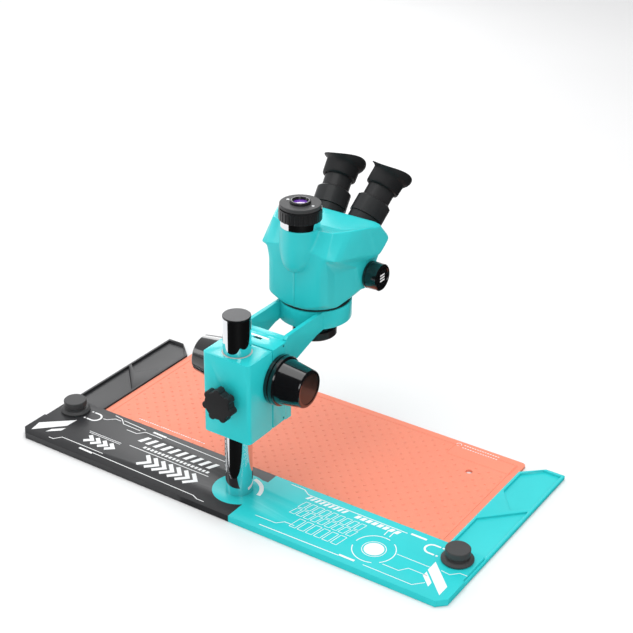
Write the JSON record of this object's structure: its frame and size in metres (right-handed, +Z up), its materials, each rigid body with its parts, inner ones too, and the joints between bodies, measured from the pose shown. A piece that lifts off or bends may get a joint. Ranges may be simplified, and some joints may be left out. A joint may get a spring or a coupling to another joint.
{
  "type": "stereo microscope",
  "caption": "Trinocular stereo zoom microscope on a chromed column with a rack focusing block and fork arm, over a wide two-tone work base with a soft mat and magnetic hold-downs.",
  "frame": {"origin": "foot of the column on the table plane, on the column axis", "axes": "+Z up along the column; the user sits on the -Y side and +X is the user's right; X is the long side of the base"},
  "size_m": [0.6, 0.3378, 0.3442],
  "materials": {
    "two_tone_paint": "satin powder coat",
    "turquoise_paint": "satin powder coat",
    "black_paint": "satin powder coat",
    "silicone": "matte moulded silicone",
    "chrome": "polished",
    "ground_steel": "ground",
    "steel": "plain",
    "brass": "machined",
    "magnet": "nickel plated",
    "black_anodised": "black anodised",
    "grey_anodised": "dark satin anodised",
    "black_plastic": "fine grained",
    "gloss_black": "polished",
    "badge": "polished",
    "nylon": "natural",
    "black_rubber": "matte",
    "clear_glass": "coated",
    "purple_glass": "purple antireflection coating"
  },
  "bodies": {
    "base": {"base_bar": "two_tone_paint", "tray_left": "turquoise_paint", "tray_right": "black_paint", "work_mat": "silicone", "tray_screws": "steel", "column": "chrome", "column_cap": "ground_steel", "column_foot": "steel", "foot_screws": "steel"},
    "hold_down_left": {"hold_down_left": "black_anodised", "hold_down_magnet_left": "magnet"},
    "hold_down_right": {"hold_down_right": "black_anodised", "hold_down_magnet_right": "magnet"},
    "liner": {"column_bush": "nylon"},
    "block": {"clamp_block": "turquoise_paint", "focus_housing": "turquoise_paint", "gib_screws": "black_paint", "shaft_bearings": "brass", "friction_rings": "gloss_black"},
    "clamp_knob": {"star_knob": "black_plastic", "clamp_stud": "steel"},
    "drive": {"drive_shaft": "steel", "pinion": "brass", "focus_knob_left": "gloss_black", "focus_knob_right": "gloss_black", "knob_badge_left": "badge", "knob_badge_right": "badge"},
    "carriage": {"fork_arm": "turquoise_paint", "slide_rail": "ground_steel", "slide_screws": "steel", "focus_rack": "brass"},
    "head_lock": {"head_lock": "black_anodised"},
    "head": {"head_spigot": "black_anodised", "optics_plate": "black_anodised", "objective_barrel": "gloss_black", "objective_collar": "black_anodised", "objective_lens": "clear_glass", "optic_tubes": "black_anodised", "prism_block": "clear_glass", "head_casing_left": "turquoise_paint", "head_casing_right": "turquoise_paint", "port_tube": "chrome"},
    "zoom": {"zoom_shaft": "steel", "zoom_drum": "brass", "zoom_knob_left": "gloss_black", "zoom_knob_right": "gloss_black"},
    "port_focus": {"port_ring": "black_anodised", "port_plate": "grey_anodised", "port_lens_cell": "black_anodised", "port_lens": "purple_glass"},
    "eyetube_left": {"eye_turret_left": "black_anodised", "eyepiece_left": "black_anodised", "eye_lens_left": "clear_glass"},
    "dioptre_left": {"dioptre_ring_left": "black_plastic"},
    "cup_left": {"eyecup_left": "black_rubber"},
    "eyetube_right": {"eye_turret_right": "black_anodised", "eyepiece_right": "black_anodised", "eye_lens_right": "clear_glass"},
    "dioptre_right": {"dioptre_ring_right": "black_plastic"},
    "cup_right": {"eyecup_right": "black_rubber"}
  },
  "joints": [
    {"name": "hold_down_left_lift", "type": "slide", "parent": "base", "child": "hold_down_left", "axis": [0, 0, 1], "range_m": [0, 0.05]},
    {"name": "hold_down_right_lift", "type": "slide", "parent": "base", "child": "hold_down_right", "axis": [0, 0, 1], "range_m": [0, 0.05]},
    {"name": "block_height", "type": "slide", "parent": "base", "child": "liner", "axis": [0, 0, 1], "range_m": [-0.052, 0.045]},
    {"name": "block_swivel", "type": "hinge", "parent": "liner", "child": "block", "pos_m": [0, 0, 0.14], "axis": [0, 0, 1], "continuous": true},
    {"name": "clamp_turn", "type": "hinge", "parent": "block", "child": "clamp_knob", "pos_m": [0, 0.03, 0.1391], "axis": [0, 1, 0], "range_deg": [0, 720]},
    {"name": "arm_focus", "type": "slide", "parent": "block", "child": "carriage", "axis": [0, 0, 1], "range_m": [-0.0248, 0.0248]},
    {"name": "focus_turn", "type": "hinge", "parent": "block", "child": "drive", "pos_m": [0, -0.033, 0.1506], "axis": [1, 0, 0], "range_deg": [-238, 238]},
    {"name": "head_lock_turn", "type": "hinge", "parent": "carriage", "child": "head_lock", "pos_m": [0, -0.2, 0.184], "axis": [0, -1, 0], "range_deg": [0, 720]},
    {"name": "head_rotate", "type": "hinge", "parent": "carriage", "child": "head", "pos_m": [0, -0.1555, 0.19], "axis": [0, 0, 1], "continuous": true},
    {"name": "zoom_turn", "type": "hinge", "parent": "head", "child": "zoom", "pos_m": [0, -0.19, 0.225], "axis": [1, 0, 0], "range_deg": [-150, 150]},
    {"name": "port_focus_turn", "type": "hinge", "parent": "head", "child": "port_focus", "pos_m": [0, -0.123, 0.31], "axis": [0, 0, 1], "range_deg": [-90, 90]},
    {"name": "eyetube_right_swing", "type": "hinge", "parent": "head", "child": "eyetube_right", "pos_m": [0.0248, -0.2259, 0.2626], "axis": [0, -0.7071, 0.7071], "range_deg": [-16, 16]},
    {"name": "dioptre_right_turn", "type": "hinge", "parent": "eyetube_right", "child": "dioptre_right", "pos_m": [0.0248, -0.216, 0.2725], "axis": [0.1132, -0.7026, 0.7026], "range_deg": [-120, 120]},
    {"name": "cup_right_turn", "type": "hinge", "parent": "eyetube_right", "child": "cup_right", "pos_m": [0.0248, -0.216, 0.2725], "axis": [0.1132, -0.7026, 0.7026], "continuous": true},
    {"name": "eyetube_left_swing", "type": "hinge", "parent": "head", "child": "eyetube_left", "pos_m": [-0.0248, -0.2259, 0.2626], "axis": [0, -0.7071, 0.7071], "range_deg": [-16, 16]},
    {"name": "dioptre_left_turn", "type": "hinge", "parent": "eyetube_left", "child": "dioptre_left", "pos_m": [-0.0248, -0.216, 0.2725], "axis": [-0.1132, -0.7026, 0.7026], "range_deg": [-120, 120]},
    {"name": "cup_left_turn", "type": "hinge", "parent": "eyetube_left", "child": "cup_left", "pos_m": [-0.0248, -0.216, 0.2725], "axis": [-0.1132, -0.7026, 0.7026], "continuous": true}
  ],
  "couplings": [
    {"joint": "focus_turn", "follows": "arm_focus", "rad_per_m": -166.67},
    {"joint": "eyetube_right_swing", "follows": "eyetube_left_swing", "ratio": -1}
  ]
}
